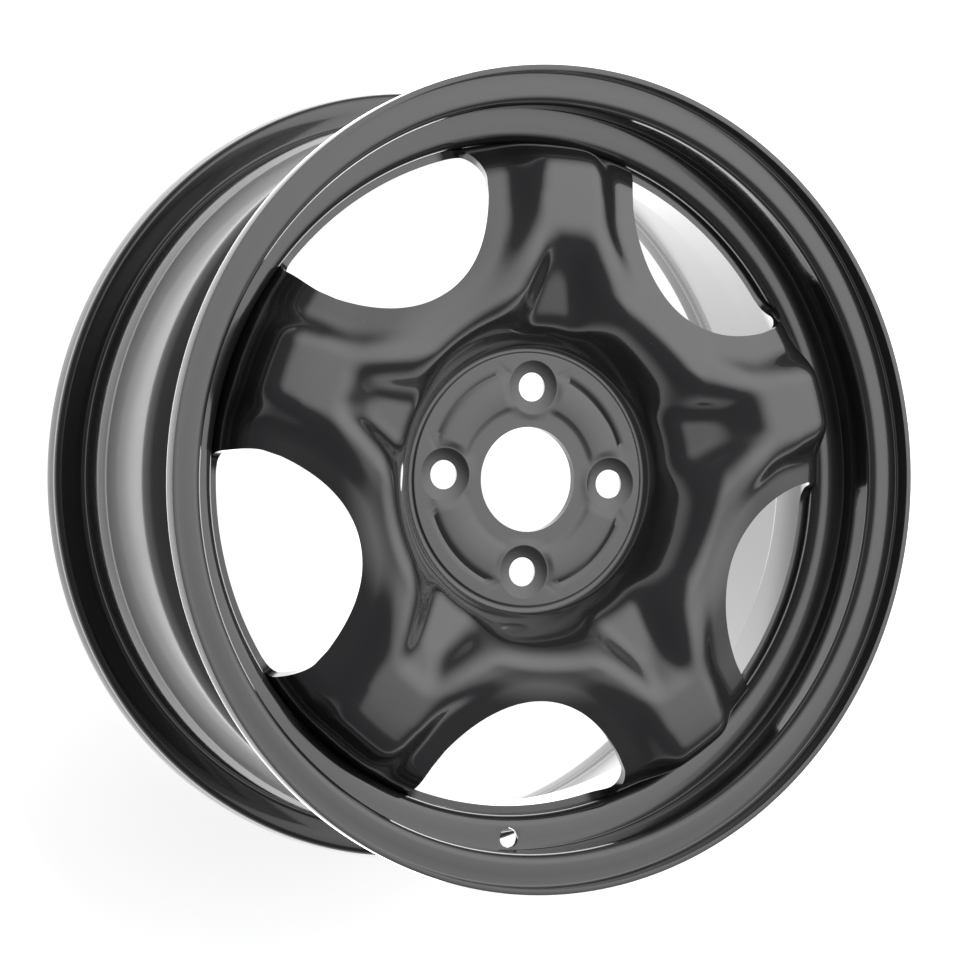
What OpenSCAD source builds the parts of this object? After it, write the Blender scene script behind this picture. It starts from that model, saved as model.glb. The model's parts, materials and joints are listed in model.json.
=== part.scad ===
// Steel road wheel: a rolled rim with a pressed five-spoke disc welded into its well.
// The origin is the centre of the hub mounting face and +Z points outboard, away from the hub.

/* [Rim] */
// Diameter of the bead seats
bead_d = 405.6; // [380:0.1:440]
// Distance between the tyre sides of the two flanges
rim_w = 165.1; // [150:0.1:190]
// Distance from the rim's centre plane to the hub mounting face
offset_z = 52; // [46:0.5:56]
// Height of each flange above its bead seat
flange_h = 17.3; // [15:0.1:20]
// Distance that each lip reaches past the tyre side of its flange
lip_reach = 12.5; // [11:0.1:16]
// Thickness of the rolled sheet
rim_t = 2.8; // [2:0.1:3.6]
// Width of each bead seat, from the flange to the crest of the safety hump
seat_w = 18.5; // [16:0.5:22]
// Height of the safety humps
hump_h = 1.6; // [0.5:0.1:2]
// Depth of the well below the bead seats
well_depth = 18.4; // [15:0.1:21]
// Axial distance from the outboard hump to the front wall of the well
shoulder_w = 8.75; // [7:0.25:10]
// Axial run of that wall, between the shoulder and the well's floor
wall_lean = 1.1; // [0.5:0.1:2]
// Axial width of the well's floor
well_w = 41.6; // [38:0.2:46]
// Axial length of the step from the well to the inboard leg
step_w = 14.5; // [10:0.5:20]
// Depth of the inboard leg below the bead seats, where it leaves the step
leg_depth = 4; // [3:0.1:6]
// Rise of the inboard leg towards the inboard hump
leg_rise = 1.4; // [0:0.1:2]

/* [Valve hole] */
// Diameter of the valve hole
valve_d = 11.3; // [8:0.1:12]
// Distance of the hole's centre inside the shoulder, on the front wall of the well
valve_in = 7.8; // [7:0.1:8.5]

/* [Hub] */
// Diameter of the centre bore
bore_d = 56.6; // [50:0.1:66]
// Diameter of the bolt circle
bolt_pcd = 100; // [96:0.5:108]
// Number of bolt holes
bolts = 4; // [3:1:5]
// Diameter of the bolt holes
bolt_d = 15.6; // [12:0.1:18]
// Diameter of the round seat that each bolt head presses into
seat_d = 29; // [26:0.5:32]
// Radius of the ball that shapes the seats
seat_ball = 42; // [34:1:60]
// Thickness of the hub plate
hub_t = 4.5; // [4.4:0.1:6]
// Outer radius of the flat hub plate
hub_r = 69; // [67:0.5:71]
// Height of the step from the flat ring at the bore to the bolt ring
step_h = 0.7; // [0.4:0.1:1.2]
// Height of the bolt ring's crown above the step
crown_h = 0.8; // [0.4:0.1:1.2]
// Height of the ledge outside the bolt ring
ledge_h = 0.6; // [0.3:0.1:1]

/* [Disc] */
// Number of spokes, with a window between each pair
spokes = 5; // [4:1:6]
// Thickness of the pressed sheet
disc_t = 4.2; // [3:0.1:4.3]
// Radius of the window's inner edge on its centre line
window_r = 117.7; // [112:0.1:122]
// Outward run of the window's inner edge at 50 mm from its centre line
window_rise = 23.4; // [20:0.1:27]
// Further run of that edge, which grows faster with the distance
window_flare = 2.4; // [1:0.1:4]
// Radius of the window's outer corners
corner_r = 10; // [6:0.5:12]
// Height of the window's inner edge above the hub mounting face
edge_z = 36.4; // [32:0.1:40]
// Drop of the flat strips beside the windows, from the inner edge to the spoke's waist
strip_drop = 9.2; // [6:0.1:12]
// Height of the crest between the windows and the hub
crest_z = 41; // [38:0.1:43]
// Drop of the raised land of each spoke, from the crest to the outer bend
land_drop = 3; // [1:0.1:5]
// Radius at the foot of the wall round the hub
wall_r = 72.3; // [71.5:0.1:76]
// Slope of that wall from the hub plate's plane
wall_angle = 62; // [52:1:66]
// Radius at the closed end of the pocket in each spoke
pocket_end = 115; // [108:0.5:118]
// Half width of the pocket's floor at the hub wall
pocket_root = 20; // [16:0.5:22]
// Half width of the pocket's floor at its closed end
pocket_tip = 6.5; // [5:0.5:9]
// Height of the pocket's floor at the hub wall
pocket_low = 21; // [18:0.5:23]
// Height of the pocket's floor at its closed end
pocket_high = 30; // [26:0.5:33]
// Radial width of the bend from the spokes down to the skirt
bend_w = 18; // [14:0.5:20]
// Height of the skirt
skirt_h = 25; // [22:0.5:27]
// Gap between the skirt and the well, before welding
skirt_fit = 0.1; // [0.05:0.05:0.3]

/* [Welds] */
// Weld beads under each spoke
welds_per_spoke = 2; // [1:1:2]
// Angle that each bead runs round the skirt
weld_angle = 15; // [8:1:18]
// Leg of the beads' section
weld_leg = 3.6; // [2.5:0.1:4]

/* [Hidden] */
$fn = 96;
paint = "#1c1d1f";
weld_paint = "#232426";

// Rim section, as radii and heights along the middle of the sheet
seat_taper = 5;
hump_foot = 4;
heel_fillet = 4.2;
lip_fillet = 3;
shoulder_drop = 0.1;
out_z = rim_w / 2 - offset_z;
in_z = -rim_w / 2 - offset_z;
seat_r = (bead_d - rim_t) / 2;
lip_r = seat_r + flange_h;
seat_end_r = seat_r - (seat_w - hump_foot) * tan(seat_taper);
hump_r = seat_end_r + hump_h;
hump_z = out_z - seat_w;
shoulder_r = hump_r - shoulder_drop;
shoulder_z = hump_z - shoulder_w;
well_r = seat_r - well_depth;
well_top = shoulder_z - wall_lean;
well_bottom = well_top - well_w;
leg_r = seat_r - leg_depth;
leg_end = in_z + seat_w + 2 * hump_foot;
arc_steps = 6;

// Corners of the section, each with the fillet that rounds it
rim_path = [
    [lip_r, out_z + lip_reach, 0],
    [lip_r, out_z + rim_t / 2, lip_fillet],
    [seat_r, out_z + rim_t / 2, heel_fillet],
    [seat_end_r, hump_z + hump_foot, 8],
    [hump_r, hump_z, 4],
    [shoulder_r, shoulder_z, 2],
    [well_r, well_top, 5.2],
    [well_r, well_bottom, 10],
    [leg_r, well_bottom - step_w, 10],
    [leg_r + leg_rise, leg_end, 10],
    [hump_r, in_z + seat_w, 4],
    [seat_end_r, in_z + seat_w - hump_foot, 8],
    [seat_r, in_z - rim_t / 2, heel_fillet],
    [lip_r, in_z - rim_t / 2, lip_fillet],
    [lip_r, in_z - lip_reach, 0]
];

// Place and slant of the valve hole, square to the well's front wall
wall_slant = atan2(wall_lean, shoulder_r - well_r);
valve_r = shoulder_r - valve_in;
valve_z = shoulder_z - valve_in * tan(wall_slant);

// Disc, from the hub plate out to the skirt
half = 180 / spokes;
first_spoke = 90;
root_inset = 3;
step_r = hub_r - 30;
dip_r = hub_r - 9.8;
root_r = hub_r - root_inset;
foot_r = wall_r - 2;
root_z = (hub_t + disc_t) / 2;
skirt_r = well_r - rim_t / 2 - skirt_fit;
skirt_down = 7.15;
skirt_top = well_top - skirt_down;
skirt_end = skirt_top - skirt_h;
bend_r = skirt_r - bend_w;
waist_w = 8.5;
waist_r = bend_r - waist_w;
bend_run = 2 * bend_w;
reach_low = 0.38;
reach_high = 0.75;
reach_from = 26;
reach_over = 12;
bend_hang = 0.62;
edge_ref = 50;
land_start = 100;
strip_rise = 0.1;
strip_w = 13;
strip_blend = 8;
step_soft = 0.2;
step_slope = 0.75;
step_from = 103;
step_to = 130;
step_blend = 4;
spoke_from = 130;
pocket_start = 72;
pocket_flat = 0.7;
pocket_steep = 1.6;
pocket_back = 0.6;
foot_blend = 4;
crest_blend = 24;
pocket_blend = 8;
pocket_rim = 10;
probe = 0.05;

// Columns over half a spoke and half a window, and rows from the hub to the waist
spoke_cols = 6;
window_cols = 6;
star_rows = 14;
row_growth = 1.25;
bend_steps = [0.25, 0.5, 0.75, 0.875, 0.95, 1];
cols = spokes * 2 * (spoke_cols + window_cols);
waist_row = star_rows;
skirt_row = star_rows + 1 + len(bend_steps);
rows = skirt_row + 1;

function unit(v) = v / norm(v);
function mix(a, b, t) = a + (b - a) * t;
function ease(t) = let (c = min(max(t, 0), 1)) c * c * (3 - 2 * c);
function smin(a, b, k) = let (h = max(k - abs(a - b), 0) / k) min(a, b) - h * h * k / 4;
function smax(a, b, k) = -smin(-a, -b, k);
function turn(v) = [-v[1], v[0]];
function plane(p) = [p[0], p[1]];

// Points of the arc that rounds corner i of a path
function corner(path, i) =
    let (p = plane(path[i]))
    i == 0 || i == len(path) - 1 ? [p] :
    let (u = unit(p - plane(path[i - 1])))
    let (v = unit(plane(path[i + 1]) - p))
    let (side = sign(cross(u, v)))
    let (bend = acos(u * v))
    let (r = path[i][2])
    let (start = p - u * r * tan(bend / 2))
    let (centre = start + turn(u) * side * r)
    [for (s = [0 : arc_steps])
        let (t = side * bend * s / arc_steps)
        centre + side * r * [u[1] * cos(t) + u[0] * sin(t), -u[0] * cos(t) + u[1] * sin(t)]];

function rounded(path) = [for (i = [0 : len(path) - 1]) each corner(path, i)];

// A path moved sideways by d, mitred at its points
function moved(pts, d) = [
    for (i = [0 : len(pts) - 1])
        let (u = unit(pts[max(i, 1)] - pts[max(i, 1) - 1]))
        let (v = unit(pts[min(i, len(pts) - 2) + 1] - pts[min(i, len(pts) - 2)]))
        let (n = unit(turn(u) + turn(v)))
        pts[i] + n * d / (n * turn(u))
];

function reversed(list) = [for (i = [len(list) - 1 : -1 : 0]) list[i]];

module sheet_section(path, t) {
    middle = rounded(path);
    polygon(concat(moved(middle, t / 2), reversed(moved(middle, -t / 2))));
}

// Angle from the nearest spoke's axis
function fold(a) = abs(a - first_spoke - 2 * half * round((a - first_spoke) / (2 * half)));

// Window's inner edge: its radial place and slope at a distance y from the centre line
function edge_x(y) = window_r + window_rise * pow(y / edge_ref, 2) + window_flare * pow(y / edge_ref, 4);
function edge_slope(y) =
    (2 * window_rise * y / edge_ref + 4 * window_flare * pow(y / edge_ref, 3)) / edge_ref;

// Distance y at which that edge reaches a radius, found by halving
function edge_y(r, low = 0, high = 100, n = 30) =
    let (y = (low + high) / 2)
    n == 0 ? y : norm([edge_x(y), y]) < r ? edge_y(r, y, high, n - 1) : edge_y(r, low, y, n - 1);

waist_y = edge_y(waist_r);
waist_angle = atan2(waist_y, edge_x(waist_y));
spoke_half = waist_r * sin(half - waist_angle);
waist_lean = atan(edge_slope(waist_y)) + waist_angle;
edge_turn = tan(90 - waist_lean) * (bend_r + bend_run - waist_r) / waist_r * 180 / PI;

// Distance of a point of the sheet from the nearest window's edge
function edge_gap(r, f) =
    let (x = r * cos(half - f))
    let (y = r * sin(half - f))
    let (from_arc = (edge_x(y) - x) / norm([1, edge_slope(y)]))
    mix(from_arc, spoke_half - r * sin(f), ease((r - spoke_from) / (waist_r - spoke_from)));

function strip_z(r) = edge_z - strip_drop * smax(r - window_r, 0, strip_blend) / (waist_r - window_r);
function land_z(r) = crest_z - land_drop * pow(max(r - land_start, 0) / (bend_r - land_start), 2);
function wall_z(r) = smax(root_z, root_z + (r - wall_r) * tan(wall_angle), foot_blend);

// Floor, sides and closed end of the pocket in a spoke
function pocket_z(r, f) =
    let (x = r * cos(f))
    let (t = max(x - pocket_start, 0) / (pocket_end - pocket_start))
    let (side = r * sin(f) - mix(pocket_root, pocket_tip, t))
    let (out = smax(side, pocket_back * (x - pocket_end), pocket_blend))
    mix(pocket_low, pocket_high, t) + mix(pocket_flat, pocket_steep, min(t, 1)) * smax(out, 0, pocket_blend);

// Height of the disc's outer face inside the bend
function face_z(r, f) =
    let (gap = edge_gap(r, f))
    let (steepness = mix(step_soft, step_slope, ease((r - step_from) / (step_to - step_from))))
    let (step = steepness * smax(gap - strip_w, 0, step_blend))
    let (star = smin(strip_z(r) + strip_rise * gap + step, land_z(r), step_blend))
    smin(smin(star, wall_z(r), crest_blend), pocket_z(r, f), pocket_rim);

// Curve from a spoke's face at the bend down to the top of the skirt
function bend(z, slope, t) =
    let (high = min(max((z - reach_from) / reach_over, 0), 1))
    let (reach = bend_w * mix(reach_low, reach_high, high))
    let (p = [[bend_r, z], [bend_r + reach, z + slope * reach]])
    let (q = [[skirt_r, skirt_top + bend_hang * (z - skirt_top)], [skirt_r, skirt_top]])
    let (s = 1 - t)
    s * s * s * p[0] + 3 * s * s * t * p[1] + 3 * s * t * t * q[0] + t * t * t * q[1];

function bend_at(f, t) =
    bend(face_z(bend_r, f), (face_z(bend_r, f) - face_z(bend_r - probe, f)) / probe, t);

// Point and outward normal of the outer face, at an angle and a distance along the section
function face_point(a, q) =
    let (f = fold(a))
    let (t = (q - bend_r) / bend_run)
    let (rz = q <= bend_r ? [q, face_z(q, f)] : t <= 1 ? bend_at(f, t) : [skirt_r, skirt_top - q + bend_r + bend_run])
    [rz[0] * cos(a), rz[0] * sin(a), rz[1]];

function face_normal(a, q) =
    let (round = face_point(a + probe, q) - face_point(a - probe, q))
    let (along = face_point(a, q + probe) - face_point(a, q - probe))
    unit(cross(along, round));

// Angle of a spoke's side from its axis, which flares into the window's round corner at the skirt
function side_angle(q) =
    let (t = (q - waist_r) / (bend_r + bend_run - waist_r))
    let (edge_fall = (strip_z(bend_r) - strip_z(bend_r - probe)) / probe)
    let (z = bend(strip_z(bend_r), edge_fall, max(q - bend_r, 0) / bend_run)[1])
    let (drop = min(max(skirt_top + corner_r - z, 0), corner_r))
    let (flare = corner_r - sqrt(corner_r * corner_r - drop * drop))
    half - waist_angle - edge_turn * t * (1 - t) * (1 - t) + flare / skirt_r * 180 / PI;

// Angle from the spoke's axis and distance along the section, for column m of half a sector and row j
function grid_place(m, j) =
    let (in_spoke = m <= spoke_cols)
    let (part = in_spoke ? m / spoke_cols : (m - spoke_cols) / window_cols)
    let (y = in_spoke ? 0 : waist_y * (1 - part))
    let (end_r = in_spoke ? waist_r : norm([edge_x(y), y]))
    let (end_a = in_spoke ? side_angle(waist_r) * part : half - atan2(y, edge_x(y)))
    let (s = max(j - 1, 0) / (star_rows - 1))
    let (k = j - star_rows - 1)
    let (q = k <= 0 ? bend_r : bend_r + bend_run * bend_steps[min(k, len(bend_steps)) - 1])
    j <= waist_row ?
        [mix(half * m / (spoke_cols + window_cols), end_a, ease(s)),
            j == 0 ? root_r : mix(foot_r, end_r, pow(s, row_growth))] :
        [in_spoke ? side_angle(q) * part : mix(side_angle(bend_r + bend_run), half, part),
            j < rows ? (in_spoke ? q : bend_r + bend_run) : bend_r + bend_run + skirt_h];

// Angle and distance of grid point i, j round the whole disc
function grid(i, j) =
    let (sector_cols = cols / spokes)
    let (n = i % sector_cols)
    let (m = min(n, sector_cols - n))
    let (place = grid_place(m, j))
    let (axis = first_spoke + 2 * half * (floor(i / sector_cols) + (n == m ? 0 : 1)))
    [axis + (n == m ? place[0] : -place[0]), place[1]];

// Cells of the grid that are metal: the windows are left open between the waist and the skirt
function in_window(i) =
    let (n = i % (cols / spokes))
    n >= spoke_cols && n < cols / spokes - spoke_cols;
function metal(i, j) = j >= 0 && j < rows && !(in_window((i + cols) % cols) && j >= waist_row && j < skirt_row);

// Pressed sheet as one closed skin: outer face, inner face and the cut edges between them
module pressed_sheet() {
    places = [for (i = [0 : cols - 1], j = [0 : rows]) grid(i, j)];
    outer = [for (p = places) face_point(p[0], p[1])];
    inner = [for (p = places) face_point(p[0], p[1]) - disc_t * face_normal(p[0], p[1])];
    count = len(places);
    function at(i, j) = ((i + cols) % cols) * (rows + 1) + j;
    function edge(a, b) = [[a, b, b + count], [a, b + count, a + count]];
    faces = [for (i = [0 : cols - 1], j = [0 : rows - 1]) if (metal(i, j))
        let (a = at(i, j))
        let (b = at(i + 1, j))
        let (c = at(i + 1, j + 1))
        let (d = at(i, j + 1))
        each concat(
            [[a, b, c], [a, c, d]],
            [[a + count, c + count, b + count], [a + count, d + count, c + count]],
            metal(i, j - 1) ? [] : edge(b, a),
            metal(i, j + 1) ? [] : edge(d, c),
            metal(i - 1, j) ? [] : edge(a, d),
            metal(i + 1, j) ? [] : edge(c, b)
        )
    ];
    polyhedron(concat(outer, inner), faces);
}

// Height of the hub's front over its back: flat ring, step, crowned bolt ring, dip and ledge
function hub_front(r) =
    let (step = step_h * ease((r - step_r + 0.9) / 1.8))
    let (middle = (step_r + dip_r) / 2)
    let (arch = crown_h * max(1 - pow((r - middle) / (dip_r - middle), 2), 0))
    let (fall = ease((r - dip_r + 2.4) / 2.6))
    let (ledge = ledge_h * ease((r - dip_r - 0.2) / 1.8))
    hub_t + (step + arch) * (1 - fall) + ledge;

module hub_plate() {
    bore_r = bore_d / 2;
    radii = concat(
        [bore_r],
        [for (s = [-1 : 0.5 : 1]) step_r + 0.9 * s],
        [for (s = [1 : 6]) mix(step_r + 0.9, dip_r - 2.4, s / 6)],
        [for (s = [1 : 6]) dip_r - 2.4 + 0.75 * s],
        [hub_r]
    );
    front = [for (r = radii) [r, hub_front(r)]];
    rotate_extrude()
        polygon(concat(front, [[hub_r, 0], [bore_r, 0]]));
}

module bolt_hole() {
    translate([0, 0, hub_t + sqrt(seat_ball * seat_ball - seat_d * seat_d / 4)])
        sphere(r = seat_ball);
    translate([0, 0, -hub_t])
        cylinder(d = bolt_d, h = 3 * hub_t);
}

module rim() {
    color(paint)
        difference() {
            rotate_extrude()
                sheet_section(rim_path, rim_t);
            rotate([0, 0, -90])
                translate([valve_r, 0, valve_z])
                    rotate([0, -wall_slant, 0])
                        cylinder(d = valve_d, h = 4 * rim_t, center = true);
        }
}

module disc() {
    color(paint)
        union() {
            difference() {
                hub_plate();
                for (i = [0 : bolts - 1])
                    rotate([0, 0, first_spoke + 360 / bolts * i])
                        translate([bolt_pcd / 2, 0, 0])
                            bolt_hole();
            }
            pressed_sheet();
        }
}

// Fillet welds in the corner between the skirt's edge and the well
module weld_beads() {
    wall = skirt_r + skirt_fit;
    color(weld_paint)
        for (i = [0 : spokes - 1], s = [0 : welds_per_spoke - 1])
            rotate([0, 0, first_spoke + 2 * half * (i + (s + 0.5) / welds_per_spoke) - weld_angle / 2])
                rotate_extrude(angle = weld_angle)
                    polygon([[wall, skirt_end], [wall - weld_leg, skirt_end], [wall, skirt_end - weld_leg]]);
}

rim();
disc();
weld_beads();
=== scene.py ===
"""Pressed steel road wheel in gloss black: rolled rim, stamped five-spoke disc and their welds."""
import json
import math

import bmesh
import bpy
import numpy as np
from mathutils import Matrix, Vector


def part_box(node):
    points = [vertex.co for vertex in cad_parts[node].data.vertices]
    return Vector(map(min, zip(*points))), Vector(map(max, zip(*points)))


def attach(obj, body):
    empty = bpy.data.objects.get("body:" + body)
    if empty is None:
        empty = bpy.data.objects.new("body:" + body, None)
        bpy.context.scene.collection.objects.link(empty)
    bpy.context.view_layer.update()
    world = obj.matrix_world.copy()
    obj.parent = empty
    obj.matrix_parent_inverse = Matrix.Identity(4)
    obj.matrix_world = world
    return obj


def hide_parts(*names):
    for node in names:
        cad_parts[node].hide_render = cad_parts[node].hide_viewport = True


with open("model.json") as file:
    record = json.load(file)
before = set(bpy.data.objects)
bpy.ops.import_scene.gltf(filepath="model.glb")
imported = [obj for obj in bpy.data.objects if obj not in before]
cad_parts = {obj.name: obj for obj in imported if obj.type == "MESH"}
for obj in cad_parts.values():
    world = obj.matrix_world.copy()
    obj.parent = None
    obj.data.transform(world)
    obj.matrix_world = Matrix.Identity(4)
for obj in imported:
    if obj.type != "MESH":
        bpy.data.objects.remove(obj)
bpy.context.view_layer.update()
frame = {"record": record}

bl_info = {
    "name": "Pressed Steel Wheel",
    "version": (1, 0, 0),
    "blender": (4, 5, 0),
    "location": "3D View > Sidebar > Steel Wheel",
    "description": "Models and paints a pressed steel road wheel on a studio floor",
    "category": "Object",
}

MM = 0.001
RIM_LOW, RIM_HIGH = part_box("rim")
MOUNTS = {mount["name"]: mount for mount in frame["record"]["mounts"]}
BOLT_DIMS = MOUNTS["bolt_circle"]["dims"]
FIRST_SPOKE = math.pi / 2
FULL_TURN = 2 * math.pi
VALVE_ANGLE = -math.pi / 2


# Properties


def length(name, description, mm):
    """Property for a size of the wheel, given in millimetres and kept in metres."""
    return bpy.props.FloatProperty(
        name=name, description=description, default=mm * MM, precision=5, subtype="DISTANCE", unit="LENGTH"
    )


def angle(name, description, degrees):
    """Property for an angle, given in degrees."""
    return bpy.props.FloatProperty(
        name=name, description=description, default=math.radians(degrees), subtype="ANGLE", unit="ROTATION"
    )


def number(name, description, default):
    """Property for a plain number."""
    return bpy.props.FloatProperty(name=name, description=description, default=default, precision=4)


def count(name, description, default):
    """Property for a whole number."""
    return bpy.props.IntProperty(name=name, description=description, default=default, min=1)


def colour(name, description, default):
    """Property for a colour."""
    return bpy.props.FloatVectorProperty(
        name=name, description=description, default=default, size=3, subtype="COLOR", min=0, max=1
    )


class RimSizes(bpy.types.PropertyGroup):
    """Sizes of the rolled rim's section."""

    sheet: length("Sheet", "Thickness of the rolled sheet", 2.8)
    lip_reach: length("Lip reach", "Distance that each lip reaches past the tyre side of its flange", 12.5)
    flange: length("Flange height", "Height of each flange above its bead seat", 17.3)
    seat_w: length("Seat width", "Width of each bead seat, from the flange to the crest of the hump", 18.5)
    seat_taper: angle("Seat taper", "Slope of the bead seats", 5)
    lip_fillet: length("Lip fillet", "Radius of the turn from each flange to its lip", 3)
    heel_fillet: length("Heel fillet", "Radius of the turn from each flange to its bead seat", 4.2)
    hump: length("Hump height", "Height of the safety humps", 1.6)
    hump_foot: length("Hump foot", "Width of each hump's foot on the seat's side", 4)
    well_depth: length("Well depth", "Depth of the well below the bead seats", 18.4)
    shoulder_w: length("Shoulder width", "Axial distance from the outboard hump to the well's wall", 8.75)
    shoulder_drop: length("Shoulder drop", "Drop of the sheet from the hump to that wall", 0.1)
    wall_lean: length("Wall lean", "Axial run of the well's front wall", 1.1)
    well_w: length("Well width", "Axial width of the well's floor", 41.6)
    step_w: length("Step width", "Axial length of the step from the well to the inboard leg", 14.5)
    leg_depth: length("Leg depth", "Depth of the inboard leg below the bead seats", 4)
    leg_rise: length("Leg rise", "Rise of the inboard leg towards the inboard hump", 1.4)
    valve_in: length("Valve place", "Distance of the valve hole's middle inside the shoulder", 7.8)
    edge: length("Edge round", "Rounding of the lips' and the hole's edges", 0.5)
    satin_from: length("Satin start", "Height at which the thin satin film on the outside begins", -122)
    satin_to: length("Satin end", "Height at which that film ends", -10)
    turns: count("Steps round", "Steps that the section is spun in", 256)


class HubSizes(bpy.types.PropertyGroup):
    """Sizes of the hub plate in the middle of the disc."""

    plate: length("Plate", "Thickness of the hub plate", 4.5)
    outer_r: length("Plate radius", "Outer radius of the flat hub plate", 69)
    step_r: length("Step radius", "Radius of the step from the flat ring at the bore to the bolt ring", 39)
    step_h: length("Step height", "Height of that step", 0.7)
    crown: length("Crown", "Height of the bolt ring's crown above the step", 0.8)
    dip_r: length("Dip radius", "Radius of the dip between the bolt ring and the outer ledge", 59.2)
    ledge_h: length("Ledge height", "Height of the outer ledge above the flat ring", 0.6)
    ball_r: length("Ball radius", "Radius of the round seats that the bolt heads press into", 42)
    ball_edge: length("Seat radius", "Radius of the seats' edge", 14.5)
    collar_h: length("Collar height", "Height of the level collar round each seat above the flat ring", 0.6)
    collar_w: length("Collar width", "Width over which the plate's rings fade into that collar", 4)


class DiscSizes(bpy.types.PropertyGroup):
    """Sizes of the stamped disc."""

    spokes: count("Spokes", "Number of spokes, with a window between each pair", 5)
    sheet: length("Sheet", "Thickness of the pressed sheet", 4.2)
    window_r: length("Window radius", "Radius of the window's inner edge on its centre line", 117.7)
    window_rise: length("Window rise", "Outward run of that edge at 50 mm from its centre line", 23.4)
    window_flare: length("Window flare", "Further run of that edge, which grows faster", 2.4)
    corner_r: length("Corner", "Radius of the window's outer corners", 10)
    edge_z: length("Window height", "Height of the window's inner edge above the mounting face", 36.4)
    strip_drop: length("Strip drop", "Drop of the strips beside the windows out to the waist", 9.2)
    strip_w: length("Strip width", "Width of the strips beside the windows", 13)
    strip_rise: number("Strip slope", "Slope of the strips up from the window's edge", 0.1)
    crest_z: length("Crest height", "Height of the crest between the windows and the hub", 41)
    step_soft: number("Soft step", "Slope of the step up from the strips near the windows' inner edges", 0.2)
    step_slope: number("Step slope", "Slope of that step along the spokes", 0.75)
    step_from: length("Step start", "Radius at which the step begins to steepen", 103)
    step_to: length("Step end", "Radius at which the step has its full slope", 130)
    land_drop: length("Land drop", "Drop of each spoke's land from the crest to the bend", 3)
    wall_r: length("Wall foot", "Radius at the foot of the wall round the hub", 72.3)
    wall_angle: angle("Wall slope", "Slope of that wall", 62)
    pocket_end: length("Pocket end", "Radius at the closed end of each pocket", 118)
    pocket_root: length("Pocket root", "Half width of the pocket's floor at the hub wall", 17)
    pocket_tip: length("Pocket tip", "Half width of the pocket's floor at its closed end", 6.5)
    pocket_low: length("Pocket low", "Height of the pocket's floor at the hub wall", 20.5)
    pocket_high: length("Pocket high", "Height of the pocket's floor at its closed end", 31)
    pocket_flat: number("Pocket sides", "Slope of the pocket's sides at the hub wall", 0.75)
    pocket_steep: number("Pocket end sides", "Slope of the pocket's sides at its closed end", 1.1)
    bend_w: length("Bend width", "Radial width of the bend from the spokes down to the skirt", 18)
    waist_in: length("Waist", "Distance of the spokes' waist inside that bend", 8.5)
    skirt_h: length("Skirt height", "Height of the skirt", 25)
    skirt_low: length("Skirt top", "Distance of the skirt's top below the corner of the well", 7.15)
    skirt_gap: length("Skirt gap", "Gap between the skirt and the well", 0.1)
    edge: length("Edge round", "Rounding of the sheared edges", 0.45)


class WeldSizes(bpy.types.PropertyGroup):
    """Sizes of the weld runs behind the disc."""

    per_spoke: count("Runs", "Weld runs behind each spoke", 2)
    sweep: angle("Run angle", "Angle that each run goes round the skirt", 15)
    leg: length("Leg", "Leg of the runs' section", 3.6)
    ripple: length("Ripple", "Height of the ripples along each run", 0.18)
    pitch: length("Pitch", "Distance between ripples", 1.9)


class PaintFinish(bpy.types.PropertyGroup):
    """Colours and gloss of the paint."""

    black: colour("Black", "Colour of the paint", (0.020, 0.020, 0.0215))
    dust: colour("Dust", "Colour of the fine dust on the paint", (0.055, 0.054, 0.052))
    gloss: number("Roughness", "Roughness of the paint where it flowed out well", 0.13)
    satin: number("Satin", "Further roughness of the thin film on the barrel", 0.24)
    peel: number("Peel", "Strength of the paint's orange peel", 0.05)


class StudioSetup(bpy.types.PropertyGroup):
    """Floor, light and camera of the studio."""

    off_axis: angle("Off axis", "Angle between the camera's view and the wheel's axle", 26.18)
    tip: angle("Tip", "Tip of the axle in the picture", 0.9)
    turn: angle("Turn", "Turn of the wheel about its axle in the picture", 2.92)
    distance: length("Distance", "Distance from the camera to the wheel's front along the view", 1871.1)
    aim_right: length("Aim", "Distance of the wheel's centre to the right of the picture's middle", 42.9)
    aim_down: length("Aim down", "Distance of the wheel's centre below the picture's middle", 0.3)
    lens: number("Lens", "Focal length of the lens in millimetres on a 36 mm frame", 132.32)
    floor: colour("Floor", "Colour of the floor", (0.78, 0.78, 0.78))
    panel: number("Panel", "Brightness of the big soft panel that the spokes mirror", 1.95)
    panel_lean: angle("Panel lean", "Direction of that panel to the right of the axle", 35)
    panel_rise: angle("Panel rise", "Direction of that panel above the axle", 20)
    key: number("Key light", "Brightness of the small lamp that throws the wheel's soft shadow", 30.0)
    # Painted reflection: glow of a ring of floor that only the barrel's outside mirrors, not seen by the
    # camera
    outer_mirrored_glow: number("Floor light", "Brightness of the ring of floor that the barrel's outside mirrors", 3.4)
    # Painted reflection: glow of a ring of floor that only the barrel's inside mirrors, not seen by the
    # camera
    barrel: number("Barrel light", "Brightness of the ring of floor that the barrel's inside mirrors", 1.6)
    # Painted shadow: how far the floor's glow is dimmed close to the wheel
    shade: number("Shade", "Darkness of the floor close to the wheel", 0.28)
    ceiling: colour("Ceiling", "Colour of the ceiling that the paint mirrors", (0.15, 0.15, 0.16))


def wheel(context=None):
    """The add-on's settings."""
    return (context or bpy.context).scene.steel_wheel


# Shader maths


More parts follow.
